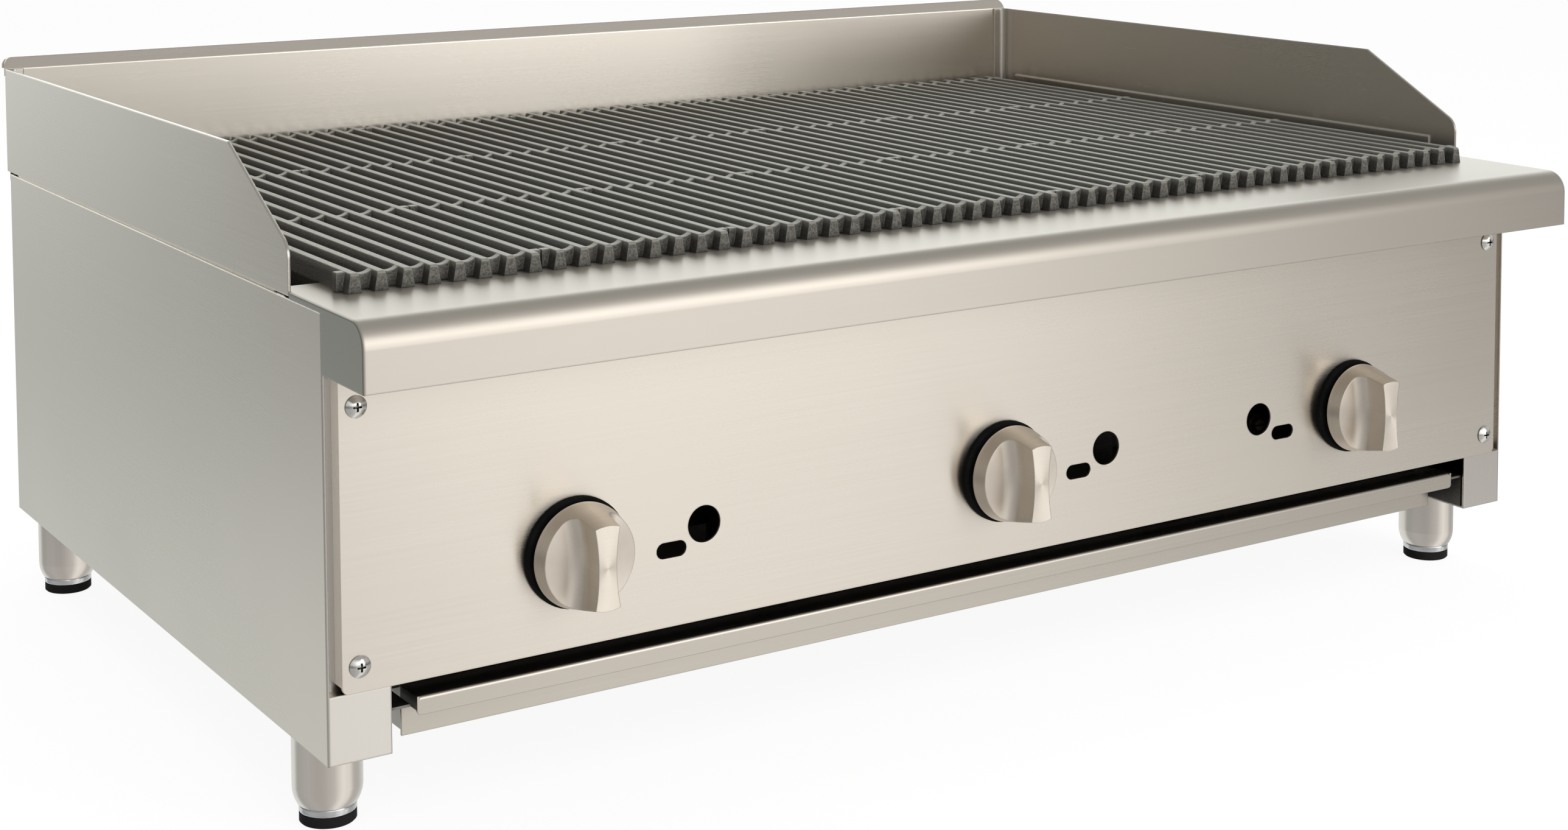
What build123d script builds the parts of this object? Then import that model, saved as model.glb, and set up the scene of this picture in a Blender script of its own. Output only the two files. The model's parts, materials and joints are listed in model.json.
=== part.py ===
"""Countertop charbroiler grill, 914 mm wide, gas fired, with three burners.

Millimetres.  +X is the operator's right, +Y runs to the back, +Z is up.
The origin is on the counter, under the middle of the footprint.
"""
import os

from build123d import *

os.makedirs("parts", exist_ok=True)

# ---------------------------------------------------------------- overall
width = 914.0
depth = 670.0
half_w = width / 2
rail_front = -depth / 2
face_y = rail_front + 55.5      # front plane of the body
back_y = face_y + 584.5         # rear plane of the body
inlet_end = depth / 2
sheet = 1.5
inner_w = half_w - sheet        # inside face of a side skin
gap = 0.1                       # clearance between sheets that only meet

# ---------------------------------------------------------------- heights
leg_top = 50.0
body_top = 296.0
ledge_z = 300.0
rail_bottom = 263.0
panel_bottom = 88.0
guard_top = 372.0
hem_top = 380.0

# ---------------------------------------------------------------- casing
post_w = 37.0                   # front flange of a side panel
rear_flange = 12.0
panel_half = 449.0
rail_radius = 14.0
rail_edge_r = 1.2
ledge_back = face_y + 60.0
screw_x = 438.7
screw_zs = (102.4, 244.0)
screw_r = 2.4
screw_hole_r = 2.5
screw_head_r = 6.2
screw_reach = 16.0              # shank behind the panel's rear face
hex_head_r = 4.6
back_screw_x = 449.5
back_screw_zs = (80, 165, 245)
guard_screw_xs = range(-360, 361, 180)
guard_screw_z = 274
vent_z = 190.0
vent_size = (50.0, 7.0)
vent_pitch = (70.0, 24.0)
inlet_hole_r = 18.5
leg_bolt_hole_r = 5.5
panel_top = rail_bottom - gap
panel_fold = 15.0
panel_corner = 4.0
panel_recess = 8.0              # depth of the groove between panel and side skin
wing_bottom = body_top + 1.5
wing_front = face_y + 45.6
wing_slope_end = face_y + 135.0
wing_nose_z = 325.0
wing_fold = 11.0
fold_bottom = ledge_z + sheet + gap
guard_y = face_y + 590.0
guard_foot_z = 262.0
guard_step_zs = (286.0, 292.0)
hem_return = 14.0
hem_corner = 6.0
fold_edge_y = (guard_y - gap - sheet - 0.01, guard_y - gap - sheet + 0.01)

# ---------------------------------------------------------------- controls
stem_z = 143.0
burner_pitch = 304.8
burner_shift = -3.0
knob_xs = [burner_shift + n * burner_pitch for n in (-1, 0, 1)]
window_xs = (-223.0, 81.0, 215.5)
slot_xs = (-245.1, 58.0, 237.6)
window_z = 145.0
slot_z = 133.3
window_r = 11.0
slot_size = (20.0, 9.5)
stem_hole_r = 7.0
knob_rear = face_y - 9.0
knob_front = face_y - 40.0
knob_rear_r = 30.3
knob_band = 2.0                 # straight band round the knob's rear edge
knob_front_r = 24.0
stem_r = 4.0
running = 0.05                  # radial clearance of a running fit
stem_flat = 3.0                 # from the stem's axis to its flat
stem_reach = 24.5               # stem inside the knob
bezel_r = 32.0
bezel_t = 4.0
scoop_floor = 10.5              # from the knob's rear to the floor of its scoops
scoop_r = 120.0
scoop_fillet = 9.0
grip_waist = 5.6                # half of the grip bar's width at its waist
seat_r = 9.0                    # spring seat
collar_r = 6.0                  # collar on the stem in front of the seat

# ---------------------------------------------------------------- gas train
pipe_r = 13.335                 # 3/4 inch steel pipe
pipe_bore_r = 10.46
pipe_socket_r = pipe_r + 0.02
elbow_reach = 24.0              # from the elbow's corner to its two mouths
elbow_socket = 14.0             # from the corner to the end of each pipe
fitting_r = 17.3
inlet_stub = 26.5
pipe_rear = face_y + 562.0
valve_body_r = 13.0
valve_bonnet_r = 7.0
valve_body_rear = face_y + 48.0
valve_outlet = face_y + 60.0
hood_seat = face_y + 70.0       # where an orifice hood's hexagon ends
pilot_rear = face_y + 54.0
pilot_valve_r = 6.0
manifold_left = -395.0
valve_pad_z = 112.0
pilot_pad_z = 110.0
pilot_y = face_y + 104.0
manifold_y = face_y + 42.0
manifold_z = 95.0
inlet_x = 425.0
burner_leg = 70.0               # half the distance between a burner's two legs

# ---------------------------------------------------------------- firebox
liner_x = 440.0
liner_bottom = 112.0
baffle_y = face_y + 95.0
rear_liner_y = face_y + 557.0
liner_top = 290.0
liner_reach = 453.5             # half the length of the front and rear liners
mixer_front = face_y + 74.0
burner_front = face_y + 136.0
burner_back = face_y + 542.0
burner_wall = 2.5
bell_r = 22.0
mixer_r = 17.0
header_r = 16.0
burner_leg_r = 14.0
port_r = 1.6
mixer_hole_r = 18.0             # hole in the baffle for a mixing tube
baffle_bend_z = 210.0
ledge_bend_z = 245.0
radiant_z = 171.0
radiant_h = 50.0
radiant_half = 52.0
radiant_front = face_y + 112.0
radiant_back = face_y + 553.0

# ---------------------------------------------------------------- grates
grate_count = 7
bars_per_grate = 8
bar_pitch = 15.6
grate_pitch = bars_per_grate * bar_pitch
grate_top = 311.0
grate_bottom = 291.0
tooth_front = face_y + 20.0
tooth_back = face_y + 582.0
rib_ys = [face_y + 31.0 + n * 540.0 / 3 for n in range(4)]
bar_base_w = 8.2
bar_taper = 80.0                # slope of a bar's sides, degrees from flat
bar_nose = 1.2
rib_t = 5.0
rib_top = 310.8
rib_nub = 7.2                   # rib beyond the outer bars' centres
rib_dish_r = 9.0
rib_dish = 7.0                  # height of a dish's centre above the rib's top

# ---------------------------------------------------------------- tray
tray_front = face_y + 22.0
tray_back = face_y + 546.0
tray_half = 402.0
tray_top = 76.0
handle_top = 78.7
handle_drop = 10.5
handle_half = 405.5
handle_corner = 2.5
tray_wall = 1.2
rail_z = 74.0
tray_rail_x = 421.5
tray_rail_lip = 13.5
rivet_xs = (-330, -110, 110, 330)
rivet_z = 68.0
rivet_hole_r = 2.5

# ---------------------------------------------------------------- legs
leg_x = 437.0
leg_ys = (face_y + 51.0, face_y + 535.0)
leg_spots = [(x, y) for y in leg_ys for x in (-leg_x, leg_x)]
sleeve_r = 19.75
sleeve_bottom = 11.0
foot_stem_r = 10.0
bolt_r = 5.0
pad_t = 6.0
pad_r = 16.0
ring_r = 16.2


def facing_front(y):
    """Upright plane at y, x to the right and z up; it extrudes toward the front."""
    return Plane.XZ.offset(-y)


def side_view(x):
    """Upright plane at x, y to the right and z up; it extrudes toward the right side."""
    return Plane.YZ.offset(x)


def bent_sheet(points, left, side, radius=2.0, thickness=sheet):
    """Section of a folded sheet at x = left: its outer line, thickened to one side."""
    with BuildSketch(side_view(left)) as section:
        with BuildLine():
            outline = Polyline(*points)
            fillet(outline.vertices()[1:-1], radius)
            offset(amount=thickness, side=side)
        make_face()
    return section.sketch


def knob_axis(x):
    """Axis of the valve stem at x."""
    return Axis((x, 0, stem_z), (0, 1, 0))


def stem_profile_plane(x):
    """Plane through a stem's axis: its own x is y, its own y is the radius."""
    return Plane(origin=(x, 0, stem_z), x_dir=(0, 1, 0), z_dir=(1, 0, 0))


# ================================================================ casing
for side, name in ((-1, "left_side_panel"), (1, "right_side_panel")):
    with BuildPart() as side_panel:
        # skin
        with BuildSketch(Plane.YZ.offset(side * inner_w)):
            with Locations(((face_y + back_y) / 2, (leg_top + body_top) / 2)):
                Rectangle(back_y - face_y, body_top - leg_top)
        extrude(amount=side * sheet)
        # post face below the control panel
        with BuildSketch(facing_front(face_y + sheet)):
            with Locations((side * (half_w - post_w / 2), (leg_top + panel_bottom) / 2)):
                Rectangle(post_w, panel_bottom - leg_top)
        extrude(amount=sheet)
        # shelf, then the set-back flange that carries the control panel
        with BuildSketch(Plane.XY.offset(panel_bottom - sheet)):
            with Locations((side * (half_w - post_w / 2), face_y + (panel_recess + sheet) / 2)):
                Rectangle(post_w, panel_recess + sheet)
        extrude(amount=sheet)
        with BuildSketch(facing_front(face_y + panel_recess + sheet)):
            with Locations((side * (half_w - post_w / 2), (panel_bottom + rail_bottom) / 2)):
                Rectangle(post_w, rail_bottom - panel_bottom)
        extrude(amount=sheet)
        # rear flange, set in by the thickness of the back panel
        with BuildSketch(facing_front(back_y - sheet)):
            with Locations((side * (inner_w - rear_flange / 2), (leg_top + body_top) / 2)):
                Rectangle(rear_flange, body_top - leg_top)
        extrude(amount=sheet)
        # bottom flange that carries the legs
        with BuildSketch(Plane.XY.offset(leg_top)):
            with Locations((side * (half_w - post_w / 2), (face_y + back_y - sheet) / 2)):
                Rectangle(post_w, back_y - face_y - sheet)
        extrude(amount=sheet)
        outer_front = side_panel.edges().filter_by(Axis.Z).group_by(Axis.Y)[0]
        fillet(outer_front.sort_by(Axis.X)[0 if side < 0 else -1], 1.2)
        with Locations(*[Location((side * leg_x, y, leg_top + sheet)) for y in leg_ys]):
            Hole(radius=leg_bolt_hole_r)
        with BuildSketch(facing_front(face_y + panel_recess + 5)):
            with Locations(*[(side * screw_x, z) for z in screw_zs]):
                Circle(screw_hole_r)
        extrude(amount=10, mode=Mode.SUBTRACT)
        with BuildSketch(facing_front(back_y)):
            with Locations(*[(side * back_screw_x, z) for z in back_screw_zs]):
                Circle(screw_hole_r)
        extrude(amount=10, mode=Mode.SUBTRACT)
    side_panel.part.label = name
    export_step(side_panel.part, f"parts/{name}.step")

with BuildPart() as back_panel:
    with BuildSketch(facing_front(back_y)):
        with Locations((0, (leg_top + body_top) / 2)):
            Rectangle(2 * (inner_w - gap), body_top - leg_top)
        with Locations((0, vent_z)):
            with GridLocations(*vent_pitch, 10, 4):
                SlotOverall(*vent_size, mode=Mode.SUBTRACT)
        with Locations((inlet_x, manifold_z)):
            Circle(inlet_hole_r, mode=Mode.SUBTRACT)
        with Locations(*[(side * back_screw_x, z) for side in (-1, 1) for z in back_screw_zs]):
            Circle(screw_hole_r, mode=Mode.SUBTRACT)
        with Locations(*[(x, guard_screw_z) for x in guard_screw_xs]):
            Circle(screw_hole_r, mode=Mode.SUBTRACT)
    extrude(amount=sheet)
back_panel.part.label = "back_panel"
export_step(back_panel.part, "parts/back_panel.step")

with BuildPart() as rear_cross_rail:
    rail_points = [
        (face_y + 550.5, 74),
        (face_y + 550.5, leg_top + sheet),
        (face_y + 581, leg_top + sheet),
    ]
    extrude(bent_sheet(rail_points, -450, Side.LEFT), amount=900)
rear_cross_rail.part.label = "rear_cross_rail"
export_step(rear_cross_rail.part, "parts/rear_cross_rail.step")

# bull nose: the sheet runs from the ledge over the nose and back under it
with BuildPart() as front_rail:
    with BuildSketch(side_view(-inner_w)):
        with BuildLine():
            Line((ledge_back, ledge_z), (rail_front + rail_radius, ledge_z))
            JernArc((rail_front + rail_radius, ledge_z), (-1, 0), rail_radius, 90)
            Line((rail_front, ledge_z - rail_radius), (rail_front, rail_bottom))
            Line((rail_front, rail_bottom), (face_y + 15, rail_bottom))
            offset(amount=sheet, side=Side.LEFT)
        make_face()
    extrude(amount=2 * inner_w)
    # closed ends, and the strip of ledge in front of each wing
    for side in (-1, 1):
        with BuildSketch(side_view(side * inner_w)):
            with BuildLine():
                Line((face_y - gap, rail_bottom), (rail_front, rail_bottom))
                Line((rail_front, rail_bottom), (rail_front, ledge_z - rail_radius))
                JernArc((rail_front, ledge_z - rail_radius), (0, 1), rail_radius, -90)
                Line((rail_front + rail_radius, ledge_z), (wing_front - 0.6, ledge_z))
                Line((wing_front - 0.6, ledge_z), (wing_front - 0.6, body_top + gap))
                Line((wing_front - 0.6, body_top + gap), (face_y - gap, body_top + gap))
                Line((face_y - gap, body_top + gap), (face_y - gap, rail_bottom))
            make_face()
        extrude(amount=side * sheet)
        # eased edge round the front of each end
        nose = front_rail.faces().sort_by(Axis.X)[0 if side < 0 else -1].edges()
        fillet([e for e in nose if e.center().Y < rail_front + rail_radius / 2], rail_edge_r)
front_rail.part.label = "front_rail"
export_step(front_rail.part, "parts/front_rail.step")

with BuildPart() as control_panel:
    with BuildSketch(facing_front(face_y)):
        with Locations((0, (panel_bottom + panel_top) / 2)):
            RectangleRounded(2 * panel_half, panel_top - panel_bottom, panel_corner)
        with Locations(*[(x, stem_z) for x in knob_xs]):
            Circle(stem_hole_r, mode=Mode.SUBTRACT)
        with Locations(*[(x, window_z) for x in window_xs]):
            Circle(window_r, mode=Mode.SUBTRACT)
        with Locations(*[(x, slot_z) for x in slot_xs]):
            SlotOverall(*slot_size, mode=Mode.SUBTRACT)
        with Locations(*[(side * screw_x, z) for side in (-1, 1) for z in screw_zs]):
            Circle(screw_hole_r, mode=Mode.SUBTRACT)
    extrude(amount=sheet)
    # folded edges behind the panel, between the two posts
    for edge_z in (panel_bottom, panel_top - sheet):
        with BuildSketch(Plane.XY.offset(edge_z)):
            with Locations((0, face_y + panel_fold / 2)):
                Rectangle(2 * (half_w - post_w - 1), panel_fold)
        extrude(amount=sheet)
    # side returns that rest on the posts' set-back flanges
    for side in (-1, 1):
        with BuildSketch(side_view(side * (panel_half - sheet))):
            with Locations((face_y + panel_recess / 2, (panel_bottom + panel_top) / 2)):
                Rectangle(panel_recess, panel_top - panel_bottom - 2 * panel_corner)
        extrude(amount=side * sheet)
control_panel.part.label = "control_panel"
export_step(control_panel.part, "parts/control_panel.step")

with BuildPart() as panel_screws:
    for x, z in [(side * screw_x, z) for side in (-1, 1) for z in screw_zs]:
        with BuildSketch(Plane(origin=(x, face_y, z), x_dir=(0, 1, 0), z_dir=(1, 0, 0))):
            with BuildLine():
                Line((screw_reach, 0), (screw_reach, screw_r))
                Line((screw_reach, screw_r), (-sheet, screw_r))
                Line((-sheet, screw_r), (-sheet, screw_head_r))
                Line((-sheet, screw_head_r), (-sheet - 0.6, screw_head_r))
                ThreePointArc((-sheet - 0.6, screw_head_r), (-sheet - 2.3, 3.6), (-sheet - 2.9, 0))
                Line((-sheet - 2.9, 0), (screw_reach, 0))
            make_face()
        revolve(axis=Axis((x, 0, z), (0, 1, 0)))
        # cross recess
        with BuildSketch(facing_front(face_y - sheet - 1.2)):
            with Locations((x, z)):
                Rectangle(5.0, 1.1)
                Rectangle(1.1, 5.0)
        extrude(amount=3, mode=Mode.SUBTRACT)
panel_screws.part.label = "panel_screws"
export_step(panel_screws.part, "parts/panel_screws.step")

# ================================================================ splash guard
for side, name in ((-1, "guard_left"), (1, "guard_right")):
    with BuildPart() as wing:
        with BuildSketch(side_view(side * inner_w)):
            with BuildLine():
                outline = Polyline(
                    (wing_front, wing_bottom),
                    (wing_front, wing_nose_z),
                    (wing_slope_end, guard_top),
                    (guard_y + sheet + 0.5, guard_top),
                    (guard_y + sheet + 0.5, wing_bottom),
                    close=True,
                )
                fillet(outline.vertices().sort_by(Axis.Y)[2], 12)
            make_face()
        extrude(amount=side * sheet)
        # fold at the rear that laps the guard's back
        with BuildSketch(facing_front(guard_y - gap)):
            with Locations((side * (inner_w - wing_fold / 2), (fold_bottom + guard_top) / 2)):
                Rectangle(wing_fold, guard_top - fold_bottom)
        extrude(amount=sheet)
        upright = wing.edges().filter_by(Axis.Z).filter_by_position(Axis.Y, *fold_edge_y)
        fillet(upright.filter_by(lambda e: abs(abs(e.center().X) - inner_w) < gap), 5)
        # tongue that drops inside the side panel
        with BuildSketch(side_view(side * (inner_w - sheet))):
            with Locations((face_y + 320, 292)):
                Rectangle(500, 40)
        extrude(amount=side * sheet)
    wing.part.label = name
    export_step(wing.part, f"parts/{name}.step")

with BuildPart() as guard_back:
    guard_points = [
        (back_y + gap, guard_foot_z),
        (back_y + gap, guard_step_zs[0]),
        (guard_y, guard_step_zs[1]),
        (guard_y, guard_top),
        (guard_y + 6, hem_top),
        (guard_y + 10.5, hem_top),
        (guard_y + 10.5, hem_top - hem_return),
    ]
    extrude(bent_sheet(guard_points, -half_w, Side.RIGHT, 1.7), amount=width)
    # rounded hem across the full width; below it the guard stands between the wings
    with BuildSketch(facing_front(guard_y + 20)):
        with Locations((0, hem_top - 30)):
            RectangleRounded(width, 60, hem_corner)
        with Locations((0, guard_top + gap - 60)):
            Rectangle(width, 120, mode=Mode.SUBTRACT)
        with Locations((0, guard_top - 60)):
            Rectangle(2 * (inner_w - gap), 122)
    extrude(amount=40, mode=Mode.INTERSECT)
    with BuildSketch(facing_front(back_y + 10)):
        with Locations(*[(x, guard_screw_z) for x in guard_screw_xs]):
            Circle(screw_hole_r)
    extrude(amount=12, mode=Mode.SUBTRACT)
guard_back.part.label = "guard_back"
export_step(guard_back.part, "parts/guard_back.step")

# hex-head screws: the guard's foot, then the back panel's two edges
with BuildPart() as rear_screws:
    guard_spots = [(x, guard_screw_z, back_y + gap + sheet) for x in guard_screw_xs]
    panel_spots = [(side * back_screw_x, z, back_y) for side in (-1, 1) for z in back_screw_zs]
    for x, z, head_y in guard_spots + panel_spots:
        with BuildSketch(facing_front(head_y)):
            with Locations((x, z)):
                Circle(screw_r)
        extrude(amount=9.5)
        with BuildSketch(facing_front(head_y)):
            with Locations((x, z)):
                RegularPolygon(hex_head_r, 6)
        extrude(amount=-2.6)
rear_screws.part.label = "rear_screws"
export_step(rear_screws.part, "parts/rear_screws.step")

# ================================================================ controls
with BuildPart() as knob_bezels:
    with BuildSketch(facing_front(face_y - sheet)):
        with Locations(*[(x, stem_z) for x in knob_xs]):
            Circle(bezel_r)
            Circle(9, mode=Mode.SUBTRACT)
    extrude(amount=bezel_t)
    chamfer(knob_bezels.edges().filter_by(GeomType.CIRCLE).group_by(Axis.Y)[0].sort_by(
        SortBy.RADIUS)[-3:], 1.2)
knob_bezels.part.label = "knob_bezels"
export_step(knob_bezels.part, "parts/knob_bezels.step")

for number, x in enumerate(knob_xs, 1):
    # two round cutters; what stands between them is a waisted grip bar
    with BuildPart() as scoops:
        with BuildSketch(facing_front(knob_rear - scoop_floor)):
            with Locations(*[(x + side * (grip_waist + scoop_r), stem_z) for side in (-1, 1)]):
                Circle(scoop_r)
        extrude(amount=40)
        fillet(scoops.edges().group_by(Axis.Y)[-1], scoop_fillet)
    # cone with a hollow back and a hub round the stem
    with BuildPart() as knob:
        with BuildSketch(stem_profile_plane(x)):
            with BuildLine():
                Polyline(
                    (knob_front, 0),
                    (knob_front, knob_front_r),
                    (knob_rear - knob_band, knob_rear_r),
                    (knob_rear - 0.6, knob_rear_r),
                    (knob_rear, knob_rear_r - 0.6),
                    (knob_rear, knob_rear_r - 2.5),
                    (knob_rear - 6, knob_rear_r - 4),
                    (knob_rear - 6, 8.5),
                    (knob_rear, 8),
                    (knob_rear, 0),
                    close=True,
                )
            make_face()
        revolve(axis=knob_axis(x))
        add(scoops.part, mode=Mode.SUBTRACT)
        # bore for the flatted stem
        with BuildSketch(facing_front(knob_rear + 1)):
            with Locations((x, stem_z)):
                Circle(stem_r + running)
            with Locations((x, stem_z + stem_flat + running + 3)):
                Rectangle(10, 6, mode=Mode.SUBTRACT)
        extrude(amount=stem_reach + 1.5, mode=Mode.SUBTRACT)
    knob.part.label = f"knob_{number}"
    export_step(knob.part, f"parts/knob_{number}.step")

    with BuildPart() as valve_stem:
        with BuildSketch(facing_front(face_y + 30)):
            with Locations((x, stem_z)):
                Circle(stem_r)
        extrude(amount=30 + face_y - knob_rear + stem_reach)
        # collar that carries the seat back when the knob is pushed
        with BuildSketch(facing_front(face_y + 12)):
            with Locations((x, stem_z)):
                Circle(collar_r)
        extrude(amount=2)
        with BuildSketch(facing_front(face_y - 6)):
            with Locations((x, stem_z + stem_flat + 3)):
                Rectangle(10, 6)
        extrude(amount=40, mode=Mode.SUBTRACT)
    valve_stem.part.label = f"valve_stem_{number}"
    export_step(valve_stem.part, f"parts/valve_stem_{number}.step")

    with BuildPart() as spring_seat:
        with BuildSketch(facing_front(face_y + 14)):
            with Locations((x, stem_z)):
                Circle(seat_r)
                Circle(stem_r + running, mode=Mode.SUBTRACT)
        extrude(amount=2)
    spring_seat.part.label = f"spring_seat_{number}"
    export_step(spring_seat.part, f"parts/spring_seat_{number}.step")

# ================================================================ gas train
with BuildPart() as gas_valves:
    for x in knob_xs:
        # body on the stem's axis, with a narrower bonnet and outlet
        with BuildSketch(facing_front(valve_body_rear)):
            with Locations((x, stem_z)):
                Circle(valve_body_r)
        extrude(amount=22)
        with BuildSketch(facing_front(valve_outlet)):
            with Locations((x, stem_z)):
                Circle(valve_bonnet_r)
        extrude(amount=42)
        # inlet down to the manifold
        with BuildSketch(Plane.XY.offset(valve_pad_z)):
            with Locations((x, manifold_y)):
                RegularPolygon(9, 6)
        extrude(amount=stem_z - valve_pad_z)
        with BuildSketch(facing_front(face_y + 36)):
            with Locations((x, stem_z)):
                Circle(stem_r + running)
        extrude(amount=20, mode=Mode.SUBTRACT)
gas_valves.part.label = "gas_valves"
export_step(gas_valves.part, "parts/gas_valves.step")

with BuildPart() as orifice_hoods:
    for x in knob_xs:
        with BuildSketch(facing_front(hood_seat)):
            with Locations((x, stem_z)):
                RegularPolygon(6.9, 6)
        extrude(amount=10)
        with BuildSketch(facing_front(hood_seat)):
            with Locations((x, stem_z)):
                Circle(4.5)
        extrude(amount=-5, taper=12)
        with BuildSketch(facing_front(hood_seat + 6)):
            with Locations((x, stem_z)):
                Circle(1.1)
        extrude(amount=16, mode=Mode.SUBTRACT)
orifice_hoods.part.label = "orifice_hoods"
export_step(orifice_hoods.part, "parts/orifice_hoods.step")

with BuildPart() as gas_manifold:
    with BuildSketch(side_view(manifold_left)):
        with Locations((manifold_y, manifold_z)):
            Circle(pipe_r)
    extrude(amount=inlet_x - elbow_socket - manifold_left)
    # flats that the valves screw into
    with BuildSketch(Plane.XY.offset(manifold_z)):
        with Locations(*[(x, manifold_y) for x in knob_xs]):
            Circle(10.5)
    extrude(amount=valve_pad_z - manifold_z)
    with BuildSketch(Plane.XY.offset(manifold_z)):
        with Locations(*[(x, manifold_y) for x in slot_xs]):
            Circle(6)
    extrude(amount=pilot_pad_z - manifold_z)
    with BuildSketch(side_view(manifold_left + 8)):
        with Locations((manifold_y, manifold_z)):
            Circle(pipe_bore_r)
    extrude(amount=1000, mode=Mode.SUBTRACT)
gas_manifold.part.label = "gas_manifold"
export_step(gas_manifold.part, "parts/gas_manifold.step")

with BuildPart() as inlet_elbow:
    with BuildSketch(side_view(inlet_x - elbow_reach)):
        with Locations((manifold_y, manifold_z)):
            Circle(fitting_r)
    extrude(amount=elbow_reach)
    with Locations((inlet_x, manifold_y, manifold_z)):
        Sphere(fitting_r)
    with BuildSketch(facing_front(manifold_y + elbow_reach)):
        with Locations((inlet_x, manifold_z)):
            Circle(fitting_r)
    extrude(amount=elbow_reach)
    # sockets for the two pipes, then the passage between them
    with BuildSketch(side_view(inlet_x - elbow_reach)):
        with Locations((manifold_y, manifold_z)):
            Circle(pipe_socket_r)
    extrude(amount=elbow_reach - elbow_socket + gap, mode=Mode.SUBTRACT)
    with BuildSketch(facing_front(manifold_y + elbow_reach)):
        with Locations((inlet_x, manifold_z)):
            Circle(pipe_socket_r)
    extrude(amount=elbow_reach - elbow_socket + gap, mode=Mode.SUBTRACT)
    with BuildSketch(side_view(inlet_x - elbow_reach)):
        with Locations((manifold_y, manifold_z)):
            Circle(pipe_bore_r)
    extrude(amount=elbow_reach, mode=Mode.SUBTRACT)
    with BuildSketch(facing_front(manifold_y + elbow_reach)):
        with Locations((inlet_x, manifold_z)):
            Circle(pipe_bore_r)
    extrude(amount=elbow_reach, mode=Mode.SUBTRACT)
inlet_elbow.part.label = "inlet_elbow"
export_step(inlet_elbow.part, "parts/inlet_elbow.step")

with BuildPart() as inlet_pipe:
    with BuildSketch(facing_front(pipe_rear)):
        with Locations((inlet_x, manifold_z)):
            Circle(pipe_r)
            Circle(pipe_bore_r, mode=Mode.SUBTRACT)
    extrude(amount=pipe_rear - (manifold_y + elbow_socket))
inlet_pipe.part.label = "inlet_pipe"
export_step(inlet_pipe.part, "parts/inlet_pipe.step")

# coupling with the threaded end that the supply line screws onto
with BuildPart() as gas_inlet:
    with BuildSketch(facing_front(inlet_end)):
        with Locations((inlet_x, manifold_z)):
            Circle(pipe_r)
    extrude(amount=inlet_stub)
    chamfer(gas_inlet.edges().group_by(Axis.Y)[-1], 1)
    with BuildSketch(facing_front(inlet_end - inlet_stub)):
        with Locations((inlet_x, manifold_z)):
            Circle(fitting_r)
    extrude(amount=40)
    with BuildSketch(facing_front(inlet_end)):
        with Locations((inlet_x, manifold_z)):
            Circle(pipe_bore_r)
    extrude(amount=80, mode=Mode.SUBTRACT)
    with BuildSketch(facing_front(pipe_rear + gap)):
        with Locations((inlet_x, manifold_z)):
            Circle(pipe_socket_r)
    extrude(amount=20, mode=Mode.SUBTRACT)
gas_inlet.part.label = "gas_inlet"
export_step(gas_inlet.part, "parts/gas_inlet.step")

with BuildPart() as manifold_brackets:
    for x in (-155, 155):
        with BuildSketch(side_view(x - 10)):
            with Locations((manifold_y, manifold_z)):
                Circle(pipe_r + 3)
            with Locations((manifold_y + 32, manifold_z)):
                Rectangle(39, 3)
            with Locations((baffle_y - sheet - 1.5, manifold_z + 20)):
                Rectangle(3, 43)
            with Locations((manifold_y, manifold_z)):
                Circle(pipe_socket_r, mode=Mode.SUBTRACT)
        extrude(amount=20)
manifold_brackets.part.label = "manifold_brackets"
export_step(manifold_brackets.part, "parts/manifold_brackets.step")

with BuildPart() as pilot_valves:
    for x in slot_xs:
        with BuildSketch(facing_front(pilot_rear)):
            with Locations((x, slot_z)):
                Circle(pilot_valve_r)
        extrude(amount=30)
        # adjusting screw, with its driver slot
        with BuildSketch(facing_front(face_y + 24)):
            with Locations((x, slot_z)):
                Circle(4)
        extrude(amount=4)
        with BuildSketch(facing_front(face_y + 21.5)):
            with Locations((x, slot_z)):
                Rectangle(9, 1)
        extrude(amount=4, mode=Mode.SUBTRACT)
        with BuildSketch(Plane.XY.offset(pilot_pad_z)):
            with Locations((x, manifold_y)):
                Circle(4.5)
        extrude(amount=slot_z - pilot_pad_z)
pilot_valves.part.label = "pilot_valves"
export_step(pilot_valves.part, "parts/pilot_valves.step")

# bent tube with a burner head on its end
with BuildPart() as pilot_burners:
    for x in slot_xs:
        with BuildLine() as tube_path:
            tube_line = Polyline(
                (x, pilot_rear, slot_z),
                (x, pilot_y, slot_z),
                (x, pilot_y, 152),
            )
            fillet(tube_line.vertices()[1:-1], 7)
        with BuildSketch(Plane(origin=(x, pilot_rear, slot_z), z_dir=(0, 1, 0))):
            Circle(3)
        sweep(path=tube_path.wires()[0])
        with BuildSketch(Plane.XY.offset(150)):
            with Locations((x, pilot_y)):
                Circle(5)
        extrude(amount=14)
        with BuildSketch(Plane.XY.offset(164)):
            with Locations((x, pilot_y)):
                Circle(1.5)
        extrude(amount=-8, mode=Mode.SUBTRACT)
pilot_burners.part.label = "pilot_burners"
export_step(pilot_burners.part, "parts/pilot_burners.step")

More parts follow.
